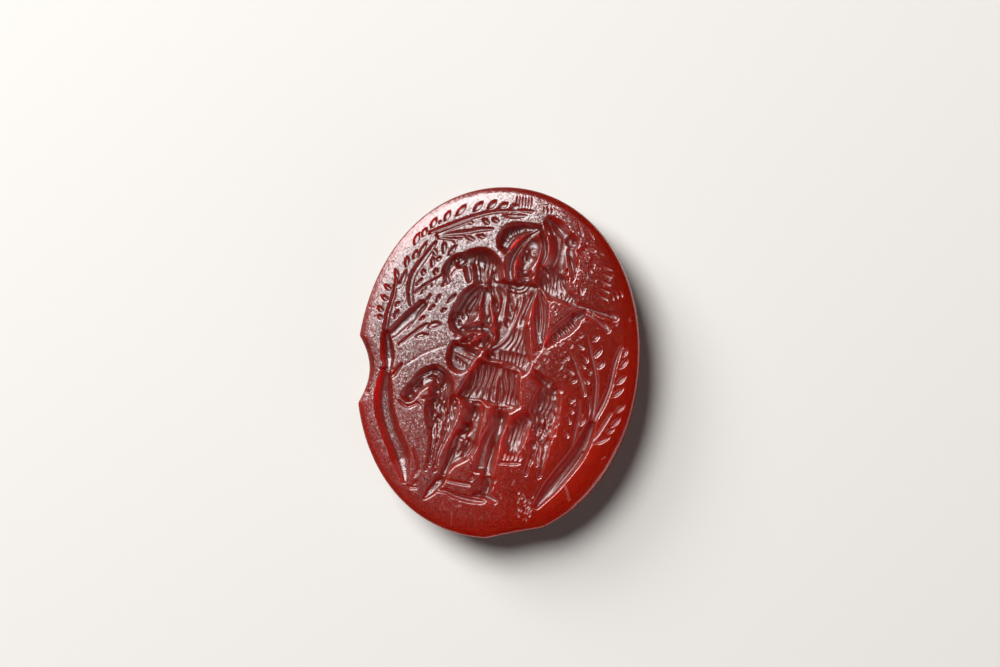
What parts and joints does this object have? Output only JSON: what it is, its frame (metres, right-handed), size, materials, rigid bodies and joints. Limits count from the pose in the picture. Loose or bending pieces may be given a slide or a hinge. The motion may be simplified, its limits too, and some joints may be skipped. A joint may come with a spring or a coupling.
{
  "type": "intaglio gem",
  "caption": "Oval red hardstone seal gem with sunk relief of a shepherd, rams and trees, lying flat on its back.",
  "frame": {"origin": "middle of the flat back, which the stone lies on", "axes": "+Z out of the carved face, +Y towards the top of the carved scene, +X to the right as seen from the face"},
  "size_m": [0.0153, 0.0189, 0.0032],
  "materials": {
    "carnelian": "polished translucent hardstone, worn satin on the face"
  },
  "bodies": {
    "root": {"gem": "carnelian"}
  },
  "joints": []
}
